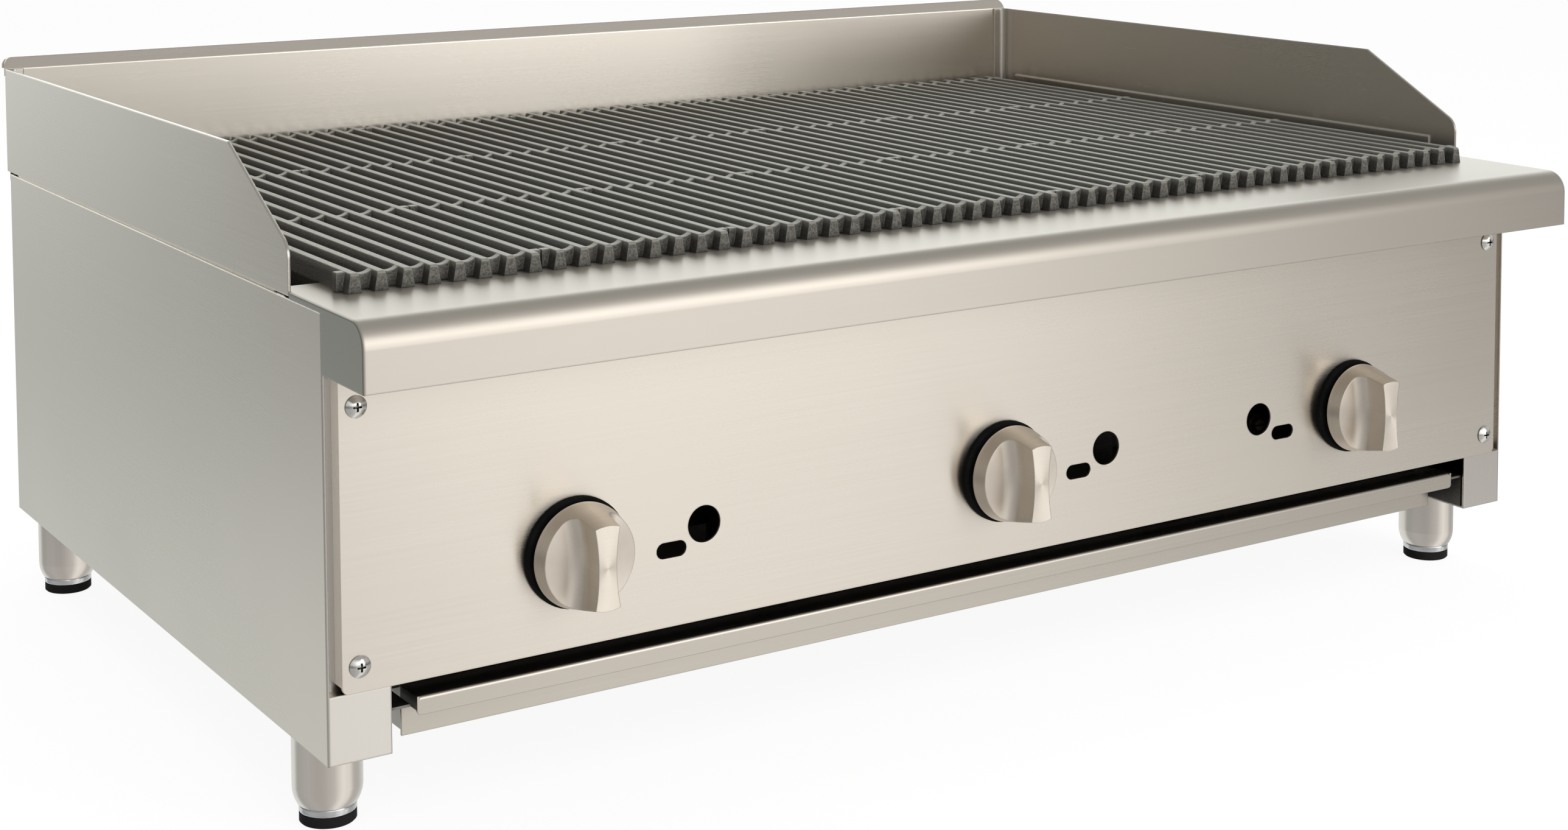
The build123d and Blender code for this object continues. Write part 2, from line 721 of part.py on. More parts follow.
# ================================================================ burners
for number, x in enumerate(knob_xs, 1):
    with BuildPart() as burner:
        for inset in (0, burner_wall):
            mode = Mode.SUBTRACT if inset else Mode.ADD
            # bell mouth and mixing tube
            with BuildSketch(stem_profile_plane(x)):
                with BuildLine():
                    Polyline(
                        (mixer_front - inset, 0),
                        (mixer_front - inset, bell_r - inset),
                        (mixer_front + 14, mixer_r - inset),
                        (burner_front, mixer_r - inset),
                        (burner_front, 0),
                        close=True,
                    )
                make_face()
            revolve(axis=knob_axis(x), mode=mode)
            # crossbar at the front and the two legs of the U
            with BuildSketch(side_view(x - burner_leg)):
                with Locations((burner_front, stem_z)):
                    Circle(header_r - inset)
            extrude(amount=2 * burner_leg, mode=mode)
            for side in (-1, 1):
                with Locations((x + side * burner_leg, burner_front, stem_z)):
                    Sphere(header_r - inset, mode=mode)
                with BuildSketch(facing_front(burner_back - inset)):
                    with Locations((x + side * burner_leg, stem_z)):
                        Circle(burner_leg_r - inset)
                extrude(amount=burner_back - inset - burner_front, mode=mode)
        # two rows of ports along each leg
        for side in (-1, 1):
            for lean in (-30, 30):
                leg_plane = Plane(
                    origin=(x + side * burner_leg, (burner_front + burner_back) / 2, stem_z)
                ).rotated((0, lean, 0))
                with BuildSketch(leg_plane):
                    with GridLocations(1, 16, 1, 24):
                        Circle(port_r)
                extrude(amount=20, mode=Mode.SUBTRACT)
    burner.part.label = f"burner_{number}"
    export_step(burner.part, f"parts/burner_{number}.step")

with BuildPart() as burner_rest:
    rest_points = [
        (face_y + 524, stem_z - 14),
        (face_y + 542, stem_z - 14),
        (face_y + 542, stem_z - 32),
    ]
    extrude(bent_sheet(rest_points, -liner_x + sheet, Side.RIGHT), amount=2 * (liner_x - sheet))
burner_rest.part.label = "burner_rest"
export_step(burner_rest.part, "parts/burner_rest.step")

with BuildPart() as radiants:
    for x in [knob_x + side * burner_leg for knob_x in knob_xs for side in (-1, 1)]:
        with BuildSketch(facing_front(radiant_back)):
            with BuildLine():
                Polyline(
                    (x - radiant_half, radiant_z + 2.1),
                    (x - 8, radiant_z + radiant_h),
                    (x + 8, radiant_z + radiant_h),
                    (x + radiant_half, radiant_z + 2.1),
                )
                offset(amount=3, side=Side.RIGHT)
            make_face()
        extrude(amount=radiant_back - radiant_front)
        # openings that let the heat through both slopes
        with BuildSketch(Plane.XY.offset(radiant_z - 5)):
            with Locations((x, (radiant_front + radiant_back) / 2)):
                with GridLocations(56, 34, 2, 12):
                    Rectangle(24, 8)
        extrude(amount=radiant_h + 10, mode=Mode.SUBTRACT)
radiants.part.label = "radiants"
export_step(radiants.part, "parts/radiants.step")

with BuildPart() as radiant_rails:
    front_points = [
        (radiant_front + 14, radiant_z),
        (radiant_front - 2, radiant_z),
        (radiant_front - 2, radiant_z + 20),
    ]
    extrude(bent_sheet(front_points, sheet - liner_x, Side.LEFT), amount=2 * (liner_x - sheet))
    back_points = [
        (radiant_back - 14, radiant_z),
        (radiant_back + 2, radiant_z),
        (radiant_back + 2, radiant_z + 20),
    ]
    extrude(bent_sheet(back_points, sheet - liner_x, Side.RIGHT), amount=2 * (liner_x - sheet))
radiant_rails.part.label = "radiant_rails"
export_step(radiant_rails.part, "parts/radiant_rails.step")

# ================================================================ firebox
with BuildPart() as firebox_sides:
    for side in (-1, 1):
        with BuildSketch(side_view(side * (liner_x - sheet))):
            with BuildLine():
                Polyline(
                    (baffle_y + 3 * gap, liner_bottom),
                    (baffle_y + 3 * gap, baffle_bend_z),
                    (ledge_back + 3 * gap, ledge_bend_z),
                    (ledge_back + 3 * gap, liner_top),
                    (rear_liner_y - gap, liner_top),
                    (rear_liner_y - gap, liner_bottom),
                    close=True,
                )
            make_face()
        extrude(amount=side * sheet)
        # top flange reaching out to the casing
        with BuildSketch(Plane.XY.offset(liner_top - sheet)):
            with Locations((side * (liner_x + 6.7), (ledge_back + rear_liner_y) / 2)):
                Rectangle(13.4, rear_liner_y - ledge_back - 4)
        extrude(amount=sheet)
firebox_sides.part.label = "firebox_sides"
export_step(firebox_sides.part, "parts/firebox_sides.step")

with BuildPart() as firebox_front:
    baffle_points = [
        (ledge_back, ledge_z - sheet),
        (ledge_back, ledge_bend_z),
        (baffle_y, baffle_bend_z),
        (baffle_y, liner_bottom),
    ]
    extrude(bent_sheet(baffle_points, -liner_reach, Side.RIGHT), amount=2 * liner_reach)
    with BuildSketch(facing_front(baffle_y + 5)):
        with Locations(*[(x, stem_z) for x in knob_xs]):
            Circle(mixer_hole_r)
        with Locations(*[(x, slot_z) for x in slot_xs]):
            Circle(4)
    extrude(amount=12, mode=Mode.SUBTRACT)
firebox_front.part.label = "firebox_front"
export_step(firebox_front.part, "parts/firebox_front.step")

# rear wall of the firebox; its folded top is the ledge for the grates' back teeth
with BuildPart() as firebox_rear:
    rear_points = [
        (guard_y - 0.6, ledge_z),
        (rear_liner_y, ledge_z),
        (rear_liner_y, liner_bottom + 4),
    ]
    extrude(bent_sheet(rear_points, -liner_reach, Side.LEFT), amount=2 * liner_reach)
firebox_rear.part.label = "firebox_rear"
export_step(firebox_rear.part, "parts/firebox_rear.step")

# ================================================================ grates
for number in range(1, grate_count + 1):
    grate_x = (number - (grate_count + 1) / 2) * grate_pitch
    bar_xs = [
        grate_x + (n - (bars_per_grate - 1) / 2) * bar_pitch for n in range(bars_per_grate)
    ]
    with BuildPart() as grate:
        # bars, with a narrow searing edge on top
        with BuildSketch(facing_front(tooth_back)):
            with Locations(*[(x, (ledge_z + grate_top) / 2) for x in bar_xs]):
                Trapezoid(
                    bar_base_w, grate_top - ledge_z, bar_taper, bar_taper, align=Align.CENTER
                )
        extrude(amount=tooth_back - tooth_front)
        chamfer(grate.edges().filter_by(Axis.X).group_by(Axis.Z)[-1], bar_nose)
        # deeper keel between the two ledges
        with BuildSketch(facing_front(rear_liner_y - 4)):
            with Locations(*[(x, (grate_bottom + ledge_z) / 2) for x in bar_xs]):
                Trapezoid(
                    bar_base_w, ledge_z - grate_bottom, 82, 82, align=Align.CENTER, rotation=180
                )
        extrude(amount=rear_liner_y - 4 - (ledge_back + 4))
        # cross ribs, dished between the bars
        for rib_y in rib_ys:
            with BuildSketch(facing_front(rib_y + rib_t / 2)):
                with Locations((grate_x, (ledge_z + 0.3 + rib_top) / 2)):
                    Rectangle(bar_xs[-1] - bar_xs[0] + 2 * rib_nub, rib_top - ledge_z - 0.3)
                with Locations(*[(x + bar_pitch / 2, rib_top + rib_dish) for x in bar_xs[:-1]]):
                    Circle(rib_dish_r, mode=Mode.SUBTRACT)
            extrude(amount=rib_t)
    grate.part.label = f"grate_{number}"
    export_step(grate.part, f"parts/grate_{number}.step")

# ================================================================ drip tray
with BuildPart() as tray_rails:
    for side in (-1, 1):
        with BuildSketch(facing_front(tray_back + 2)):
            with BuildLine():
                Polyline(
                    (side * tray_rail_x, leg_top + sheet),
                    (side * tray_rail_x, rail_z),
                    (side * (tray_rail_x - tray_rail_lip), rail_z),
                    (side * (tray_rail_x - tray_rail_lip), rail_z - sheet),
                    (side * (tray_rail_x - sheet), rail_z - sheet),
                    (side * (tray_rail_x - sheet), leg_top + sheet),
                    close=True,
                )
            make_face()
        extrude(amount=tray_back + 2 - (face_y + 3))
tray_rails.part.label = "tray_rails"
export_step(tray_rails.part, "parts/tray_rails.step")

with BuildPart() as drip_tray:
    with BuildSketch(Plane.XY.offset(leg_top)):
        with Locations((0, (tray_front + tray_back) / 2)):
            RectangleRounded(2 * tray_half, tray_back - tray_front, 4)
    extrude(amount=tray_top - leg_top)
    # lips that hang on the rails
    with BuildSketch(Plane.XY.offset(rail_z + running)):
        with Locations((0, (tray_front + tray_back) / 2 + 4)):
            Rectangle(2 * (tray_half + 10), tray_back - tray_front - 8)
    extrude(amount=tray_top - rail_z - running)
    with BuildSketch(Plane.XY.offset(tray_top)):
        with Locations((0, (tray_front + tray_back) / 2)):
            RectangleRounded(
                2 * (tray_half - tray_wall), tray_back - tray_front - 2 * tray_wall, 3
            )
    extrude(amount=-(tray_top - leg_top - tray_wall), mode=Mode.SUBTRACT)
    with BuildSketch(facing_front(tray_front + 5)):
        with Locations(*[(x, rivet_z) for x in rivet_xs]):
            Circle(rivet_hole_r)
    extrude(amount=10, mode=Mode.SUBTRACT)
drip_tray.part.label = "drip_tray"
export_step(drip_tray.part, "parts/drip_tray.step")

# tray front: an upright plate with a finger pull, a channel open at the bottom, along its top
with BuildPart() as tray_handle:
    handle_points = [
        (tray_front, leg_top),
        (tray_front, handle_top),
        (face_y - 1, handle_top),
        (face_y - 1, handle_top - handle_drop),
    ]
    extrude(bent_sheet(handle_points, -handle_half, Side.LEFT), amount=2 * handle_half)
    fillet(tray_handle.edges().filter_by(Axis.Y).group_by(Axis.Z)[1], handle_corner)
    # closed ends of the pull
    for side in (-1, 1):
        with BuildSketch(side_view(side * (handle_half - sheet))):
            with Locations((face_y - 1, handle_top)):
                Rectangle(
                    tray_front - face_y + 1,
                    handle_drop - handle_corner,
                    align=(Align.MIN, Align.MAX),
                )
        extrude(amount=side * sheet)
    with BuildSketch(facing_front(tray_front + 5)):
        with Locations(*[(x, rivet_z) for x in rivet_xs]):
            Circle(rivet_hole_r)
    extrude(amount=10, mode=Mode.SUBTRACT)
tray_handle.part.label = "tray_handle"
export_step(tray_handle.part, "parts/tray_handle.step")

with BuildPart() as tray_rivets:
    for x in rivet_xs:
        with BuildSketch(facing_front(tray_front + tray_wall)):
            with Locations((x, rivet_z)):
                Circle(rivet_hole_r - running)
        extrude(amount=tray_wall + sheet)
        with BuildSketch(facing_front(tray_front - sheet)):
            with Locations((x, rivet_z)):
                Circle(4.5)
        extrude(amount=1.4, taper=25)
        with BuildSketch(facing_front(tray_front + tray_wall)):
            with Locations((x, rivet_z)):
                Circle(4)
        extrude(amount=-1.2)
tray_rivets.part.label = "tray_rivets"
export_step(tray_rivets.part, "parts/tray_rivets.step")

# ================================================================ legs
with BuildPart() as leg_sleeves:
    for x, y in leg_spots:
        with BuildSketch(Plane(origin=(x, y, 0), z_dir=(0, -1, 0), x_dir=(1, 0, 0))):
            with BuildLine():
                Line((foot_stem_r + running, sleeve_bottom), (17, sleeve_bottom))
                ThreePointArc((17, sleeve_bottom), (18.95, 15.5), (sleeve_r, 21))
                Line((sleeve_r, 21), (sleeve_r, leg_top))
                Line((sleeve_r, leg_top), (bolt_r + running, leg_top))
                Line((bolt_r + running, leg_top), (bolt_r + running, 34))
                Line((bolt_r + running, 34), (foot_stem_r + running, 34))
                Line((foot_stem_r + running, 34), (foot_stem_r + running, sleeve_bottom))
            make_face()
        revolve(axis=Axis((x, y, 0), (0, 0, 1)))
leg_sleeves.part.label = "leg_sleeves"
export_step(leg_sleeves.part, "parts/leg_sleeves.step")

with BuildPart() as leg_bolts:
    for x, y in leg_spots:
        with BuildSketch(Plane.XY.offset(leg_top + sheet)):
            with Locations((x, y)):
                RegularPolygon(9.2, 6)
        extrude(amount=6)
        with BuildSketch(Plane.XY.offset(leg_top + sheet)):
            with Locations((x, y)):
                Circle(bolt_r)
        extrude(amount=-15)
leg_bolts.part.label = "leg_bolts"
export_step(leg_bolts.part, "parts/leg_bolts.step")

for number, (x, y) in enumerate(leg_spots, 1):
    with BuildPart() as foot:
        with BuildSketch(Plane.XY.offset(pad_t)):
            with Locations((x, y)):
                Circle(ring_r)
        extrude(amount=sleeve_bottom - pad_t - gap)
        fillet(foot.edges().filter_by(GeomType.CIRCLE), 1.2)
        with BuildSketch(Plane.XY.offset(sleeve_bottom - 1)):
            with Locations((x, y)):
                Circle(foot_stem_r)
        extrude(amount=21)
    foot.part.label = f"foot_{number}"
    export_step(foot.part, f"parts/foot_{number}.step")

    with BuildPart() as foot_pad:
        with BuildSketch():
            with Locations((x, y)):
                Circle(pad_r)
        extrude(amount=pad_t)
        chamfer(foot_pad.edges().group_by(Axis.Z)[0], 0.8)
    foot_pad.part.label = f"foot_pad_{number}"
    export_step(foot_pad.part, f"parts/foot_pad_{number}.step")
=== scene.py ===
"""Looks of the countertop charbroiler: brushed stainless, cast iron grates, satin nickel knobs.

Metres, in the CAD frame: +X right, +Y back, +Z up, origin on the counter under the middle.
"""

import json
import math

import bpy
from mathutils import Matrix, Vector


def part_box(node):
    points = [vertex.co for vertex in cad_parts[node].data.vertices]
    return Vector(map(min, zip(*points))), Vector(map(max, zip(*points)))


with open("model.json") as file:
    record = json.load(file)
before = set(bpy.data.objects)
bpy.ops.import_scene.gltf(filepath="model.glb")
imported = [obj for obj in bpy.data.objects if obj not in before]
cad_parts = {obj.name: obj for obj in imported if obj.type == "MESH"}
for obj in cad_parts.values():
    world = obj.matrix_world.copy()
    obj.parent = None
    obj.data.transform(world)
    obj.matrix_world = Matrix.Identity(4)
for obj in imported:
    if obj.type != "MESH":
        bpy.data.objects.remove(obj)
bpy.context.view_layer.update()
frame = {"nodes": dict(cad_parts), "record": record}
scene = bpy.context.scene

# noise scale by axis: long along the brushing, fine across it; rings round an upright axis
ALONG_X = (4.0, 800.0, 800.0)
ALONG_Y = (800.0, 4.0, 800.0)
ALONG_Z = (800.0, 800.0, 4.0)
ROUND_Z = (40.0, 40.0, 700.0)

# unit vectors, for the way a sheet was brushed
X_WAY, Y_WAY, Z_WAY = (1, 0, 0), (0, 1, 0), (0, 0, 1)

# casing steels: the colour, and the same where it is cloudy; the rail's, the tray handle's and
# the drip tray's are painted darker as shade, the legs' and the guard's lighter as painted light
STEEL, STEEL_SHADE = (0.70, 0.645, 0.57), (0.65, 0.595, 0.52)
RAIL_SHADED_STEEL, RAIL_SHADED_CLOUD = (0.60, 0.55, 0.49), (0.55, 0.505, 0.44)
PULL_SHADED_STEEL, PULL_SHADED_CLOUD = (0.55, 0.505, 0.445), (0.50, 0.46, 0.40)
TRAY_SHADED_STEEL, TRAY_SHADED_CLOUD = (0.42, 0.39, 0.35), (0.34, 0.31, 0.27)
LEG_LIT_STEEL, LEG_LIT_CLOUD = (0.86, 0.80, 0.73), (0.76, 0.70, 0.63)
GUARD_LIT_STEEL = (0.77, 0.71, 0.63)

# faces that look along their sheet's grain, painted for the light they catch: the rail's ends
# darker as painted shade, the panel's returns lighter as painted light, the posts' fronts in a
# painted tone of their own
RAIL_END_PAINTED_SHADE = (0.29, 0.275, 0.235)
RETURN_PAINTED_LIGHT = (0.95, 0.92, 0.88)
POST_PAINTED_TONE = (0.69, 0.65, 0.595)

# other metals, light and shade
NICKEL, NICKEL_SHADE = (0.84, 0.765, 0.67), (0.75, 0.675, 0.58)
ZINC, ZINC_SHADE = (0.80, 0.78, 0.74), (0.66, 0.64, 0.6)
BRIGHT_STEEL, BRIGHT_SHADE = (0.6, 0.6, 0.6), (0.45, 0.45, 0.45)
BRASS, BRASS_SHADE = (0.42, 0.32, 0.16), (0.26, 0.19, 0.09)
CHROME, CHROME_SHADE = (0.75, 0.75, 0.75), (0.6, 0.6, 0.6)
STRAW, BROWN, BARE = (0.22, 0.205, 0.19), (0.11, 0.08, 0.055), (0.4, 0.38, 0.36)

# castings: seasoned skin, and bare iron where wear reaches it, which is also painted on as
# highlight on edges and as light on faces that catch it
GRATE_IRON, GRATE_WORN_AND_LIT = (0.035, 0.034, 0.031), (0.355, 0.342, 0.30)
BURNER_IRON, BURNER_WORN_AND_LIT = (0.05, 0.045, 0.04), (0.16, 0.13, 0.11)

# black for painted shade, in recesses and on each knob's rear
SHADE_BLACK = (0.01, 0.01, 0.01)
# the bezel's near black is painted shadow in the gap behind each knob
BEZEL_SHADOW_BLACK = (0.004, 0.004, 0.004)
PIPE_BLACK = (0.035, 0.033, 0.03)
RUBBER = (0.015, 0.015, 0.015)

# radius that an edge is eased over, in metres
SHEET_EDGE = 0.0007
SIDE_EDGE = 0.0015
RAIL_EDGE = 0.0014
CAST_EDGE = 0.0012
KNOB_EDGE = 0.0009
FINE_EDGE = 0.0005

# widest recess that is painted dark, as shade, in metres
PULL_RECESS_SHADE = 0.016
SCREW_RECESS_SHADE = 0.003
GAS_RECESS_SHADE = 0.04
FIREBOX_RECESS_SHADE = 0.05

# how far under a bar's top its face and its flank start to be painted lighter, partly as wear and
# partly as painted light, and are fully so
FACE_WORN_AND_LIT = (0.011, 0.006)
FLANK_WORN_AND_LIT = (0.004, 0.0)

# added to a tangent, which must not come out as zero
SHEET_NUDGE = (0.0005, 0.001, 0.002)
KNOB_NUDGE = (1e-6, 2e-6, 3e-6)

# the counter: its size, its colour, the white that the camera sees in its place, how much of its
# own shading shows in the open, and how far in from the casing's sides the dark under it ends
FLOOR_SIZE = 60
COUNTER = (0.8, 0.8, 0.79)
COUNTER_GLOW = 1.04
OPEN_SHADING = 0.12
DARK_INSET_X = 0.06
DARK_INSET_Y = 0.16
DARK_FADE = 0.05

# brightness of the studio: degrees from the front, positive to the right, and level
HORIZON = (
    (-180, 0.80),
    (-166, 0.97),
    (-162, 0.82),
    (-157, 0.26),
    (-137, 0.15),
    (-60, 0.25),
    (-45, 0.33),
    (0, 0.75),
    (20, 0.94),
    (24, 1.55),
    (29, 1.50),
    (38, 1.35),
    (44, 0.54),
    (50, 0.24),
    (75, 0.28),
    (110, 0.50),
    (147, 1.06),
    (180, 0.80),
)
# the same for what lies below the horizon
GROUND = (
    (-180, 0.84),
    (-152, 0.86),
    (-136, 0.42),
    (-90, 0.50),
    (-45, 0.46),
    (0, 0.58),
    (20, 0.86),
    (29, 1.00),
    (37, 0.98),
    (44, 0.80),
    (50, 0.96),
    (75, 0.48),
    (147, 0.85),
    (180, 0.90),
)
BRIGHTEST = 1.55
STRONGEST_GAIN = 2.0
# by degrees above the horizon: the horizon's gain, and how far ground and ceiling take over
GAIN_BY_HEIGHT = (
    (-90, 0.8),
    (-14, 0.60),
    (-11, 0.60),
    (-5, 0.95),
    (7, 2.0),
    (24, 2.0),
    (38, 1.0),
    (90, 1.0),
)
BELOW = ((-90, 1.0), (-16, 1.0), (-12, 0.0), (90, 0.0))
OVERHEAD = ((-90, 0.0), (26, 0.0), (42, 1.0), (90, 1.0))
CEILING = 0.45
FRONT_TINT = (1.0, 1.0, 1.0)
BACK_TINT = (0.97, 1.02, 1.02)

# the photographer's stand and lens; angles in degrees
STAND = (-0.9486, -1.4941, 0.5663)
HEADING = -32.81
DOWNWARD = 4.15
ROLL = -0.19
LENS_MM = 56.74
SENSOR_MM = 36.0
LENS_SHIFT = -0.279


# ---------------------------------------------------------------- shader helpers
def new_material(name):
    """A node material with its tree and its Principled shader."""
    made = bpy.data.materials.new(name)
    made.use_nodes = True
    tree = made.node_tree
    return made, tree, tree.nodes["Principled BSDF"]


def add_node(tree, kind, inputs=None, **settings):
    """A node with its settings made and its inputs either filled in or linked."""
    node = tree.nodes.new(kind)
    for key, value in settings.items():
        setattr(node, key, value)
    for key, value in (inputs or {}).items():
        if isinstance(value, bpy.types.NodeSocket):
            tree.links.new(value, node.inputs[key])
        else:
            node.inputs[key].default_value = value
    return node


def rgba(colour):
    """colour, fully opaque."""
    return (*colour, 1.0)


def place(tree):
    """Position in the shared frame, in metres."""
    return add_node(tree, "ShaderNodeTexCoord").outputs["Object"]


def noise(tree, scale, detail=3.0, roughness=0.55, stretch=(1, 1, 1), offset=(0, 0, 0)):
    """Noise between 0 and 1, optionally stretched along an axis."""
    mapped = add_node(
        tree, "ShaderNodeMapping", {"Vector": place(tree), "Scale": stretch, "Location": offset}
    )
    made = add_node(
        tree,
        "ShaderNodeTexNoise",
        {
            "Vector": mapped.outputs["Vector"],
            "Scale": scale,
            "Detail": detail,
            "Roughness": roughness,
        },
    )
    return made.outputs["Fac"]


def remap(tree, value, from_low, from_high, low, high):
    """value taken from one range to another, and held inside it."""
    made = add_node(
        tree,
        "ShaderNodeMapRange",
        {
            "Value": value,
            "From Min": from_low,
            "From Max": from_high,
            "To Min": low,
            "To Max": high,
        },
    )
    return made.outputs["Result"]


def calc(tree, operation, a, b=0.0):
    """A Math node's result; b is left out for an operation on one number."""
    made = add_node(tree, "ShaderNodeMath", operation=operation)
    for socket, value in zip(made.inputs, (a, b)):
        if isinstance(value, bpy.types.NodeSocket):
            tree.links.new(value, socket)
        else:
            socket.default_value = value
    return made.outputs["Value"]


def vector_math(tree, operation, a, b):
    """A Vector Math node's result, as a vector."""
    return add_node(tree, "ShaderNodeVectorMath", {0: a, 1: b}, operation=operation).outputs[0]


def mix_colour(tree, factor, a, b, blend="MIX"):
    """a where factor is 0, b where it is 1; each is a socket, a colour or a number."""
    made = add_node(tree, "ShaderNodeMix", data_type="RGBA", blend_type=blend)
    for socket, value in ((made.inputs[0], factor), (made.inputs[6], a), (made.inputs[7], b)):
        if isinstance(value, bpy.types.NodeSocket):
            tree.links.new(value, socket)
        elif isinstance(value, tuple):
            socket.default_value = rgba(value)
        else:
            socket.default_value = value
    return made.outputs[2]


def soft_edges(tree, radius):
    """Surface normal with the edges eased over."""
    return add_node(tree, "ShaderNodeBevel", {"Radius": radius}, samples=4).outputs["Normal"]


def shaded_in_recesses(tree, colour, reach):
    """colour, painted black as shade in recesses narrower than reach."""
    open_sky = add_node(
        tree, "ShaderNodeAmbientOcclusion", {"Distance": reach}, samples=6
    ).outputs["AO"]
    return mix_colour(tree, remap(tree, open_sky, 0.45, 0.85, 0.0, 1.0), SHADE_BLACK, colour)


def bump(tree, height, distance, normal=None):
    """Normal of a surface raised by up to distance, in metres, where height is 1."""
    inputs = {"Height": height, "Distance": distance}
    if normal is not None:
        inputs["Normal"] = normal
    return add_node(tree, "ShaderNodeBump", inputs).outputs["Normal"]


# ---------------------------------------------------------------- materials
def scratches(tree, grain, upright):
    """Fine scratches along the grain; where upright is 1 the sheet was brushed up and down."""
    drawn = []
    for stretch in (grain, ALONG_Z):
        fine = noise(tree, 1.0, 4.0, 0.7, stretch)
        broad = noise(tree, 0.28, 2.0, 0.5, stretch, (3.1, 1.7, 5.3))
        drawn.append(mix_colour(tree, 0.15, fine, broad))
    return mix_colour(tree, upright, *drawn)


def brushed_steel(
    name,
    grain,
    along,
    light=STEEL,
    shade=STEEL_SHADE,
    rough=0.25,
    ends=None,
    edge=SHEET_EDGE,
    recess_shade=0.0,
):
    """Stainless sheet with fine scratches along one direction and cloudy handling marks.

    grain is the scratches' noise scale and along their unit vector; ends is the colour painted on
    the faces that look along the grain for the light they catch; the last argument is the widest
    recess painted dark as shade.
    """
    made, tree, shader = new_material(name)
    facing = add_node(tree, "ShaderNodeNewGeometry").outputs["Normal"]
    end_on = add_node(
        tree, "ShaderNodeVectorMath", {0: facing, 1: along}, operation="DOT_PRODUCT"
    ).outputs["Value"]
    end_on = remap(tree, calc(tree, "ABSOLUTE", end_on), 0.7, 0.95, 0, 1)
    tone = scratches(tree, grain, end_on)
    cloud = noise(tree, 5.0, 3.0, 0.5)
    shown = mix_colour(tree, tone, shade, light)
    shown = mix_colour(tree, remap(tree, cloud, 0.3, 0.75, 0.0, 0.35), shown, shade)
    # faces that look along the grain get the ends colour, painted in for the light they catch
    if ends:
        shown = mix_colour(tree, end_on, shown, ends)
    # recesses are painted dark, as shade
    if recess_shade:
        shown = shaded_in_recesses(tree, shown, recess_shade)
    tree.links.new(shown, shader.inputs["Base Color"])
    shader.inputs["Metallic"].default_value = 1.0
    rough_now = calc(
        tree,
        "ADD",
        remap(tree, tone, 0.3, 0.7, rough - 0.01, rough + 0.01),
        remap(tree, cloud, 0.3, 0.75, 0.0, 0.04),
    )
    tree.links.new(rough_now, shader.inputs["Roughness"])
    tree.links.new(soft_edges(tree, edge), shader.inputs["Normal"])
    # scratches spread a highlight across themselves
    across = vector_math(tree, "CROSS_PRODUCT", facing, along)
    tree.links.new(vector_math(tree, "ADD", across, SHEET_NUDGE), shader.inputs["Tangent"])
    shader.inputs["Anisotropic"].default_value = 0.8
    return made


def cast_iron(name, dark, worn_and_lit, rough=0.55, top=None):
    """Seasoned casting: pebbled skin, lighter on its edges, partly from wear and partly as a
    painted edge highlight.

    top is the height of a cooking surface, which scrapers and food wear down to bare iron; near
    it, faces that look up or forward are painted that lighter colour, partly as that wear and
    partly as painted light.
    """
    made, tree, shader = new_material(name)
    pebble = noise(tree, 900.0, 5.0, 0.6)
    patch = noise(tree, 26.0, 4.0, 0.6)
    eased = soft_edges(tree, CAST_EDGE)
    flat = add_node(tree, "ShaderNodeNewGeometry").outputs["Normal"]
    turned = add_node(
        tree, "ShaderNodeVectorMath", {0: eased, 1: flat}, operation="DOT_PRODUCT"
    ).outputs["Value"]
    # edges painted lighter: partly wear, partly a painted edge highlight
    edge = remap(tree, turned, 0.995, 0.86, 0.0, 0.75)
    edge_worn_and_lit = calc(tree, "MULTIPLY", edge, remap(tree, patch, 0.3, 0.65, 0.35, 1.0))
    browner = tuple(1.35 * c for c in dark)
    body = mix_colour(tree, remap(tree, patch, 0.3, 0.7, 0, 1), dark, browner)
    speckled = mix_colour(tree, remap(tree, pebble, 0.35, 0.75, 0.0, 0.3), body, worn_and_lit)
    if top:
        # near the top, upward and forward faces and the upper flanks are painted lighter: partly
        # wear, partly painted light from above and in front
        height = add_node(tree, "ShaderNodeSeparateXYZ", {0: place(tree)}).outputs["Z"]
        upper = remap(tree, height, top - FACE_WORN_AND_LIT[0], top - FACE_WORN_AND_LIT[1], 0.0, 1.0)
        facing = add_node(tree, "ShaderNodeSeparateXYZ", {0: flat})
        topside = remap(tree, facing.outputs["Z"], 0.35, 0.8, 0.0, 1.0)
        front = remap(tree, facing.outputs["Y"], -0.6, -0.9, 0.0, 0.55)
        front_lit_specks = calc(tree, "MULTIPLY", front, remap(tree, pebble, 0.42, 0.6, 0.3, 1.0))
        flank = remap(tree, height, top - FLANK_WORN_AND_LIT[0], top - FLANK_WORN_AND_LIT[1], 0.0, 0.5)
        worn_and_lit_side = calc(tree, "MAXIMUM", front_lit_specks, flank)
        scoured_and_lit = calc(tree, "MULTIPLY", upper, calc(tree, "MAXIMUM", topside, worn_and_lit_side))
        speckled = mix_colour(tree, calc(tree, "MULTIPLY", scoured_and_lit, 0.9), speckled, worn_and_lit)
        edge_worn_and_lit = calc(tree, "MULTIPLY", edge_worn_and_lit, upper)
    shown = mix_colour(tree, edge_worn_and_lit, speckled, tuple(1.25 * c for c in worn_and_lit))
    tree.links.new(shown, shader.inputs["Base Color"])
    shader.inputs["Metallic"].default_value = 0.6
    tree.links.new(
        remap(tree, pebble, 0.3, 0.7, rough - 0.12, rough + 0.1), shader.inputs["Roughness"]
    )
    tree.links.new(bump(tree, pebble, 0.0003, eased), shader.inputs["Normal"])
    return made


def knob_centre(number):
    """A point on a knob's axis."""
    low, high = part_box(f"knob_{number}")
    return (low + high) / 2


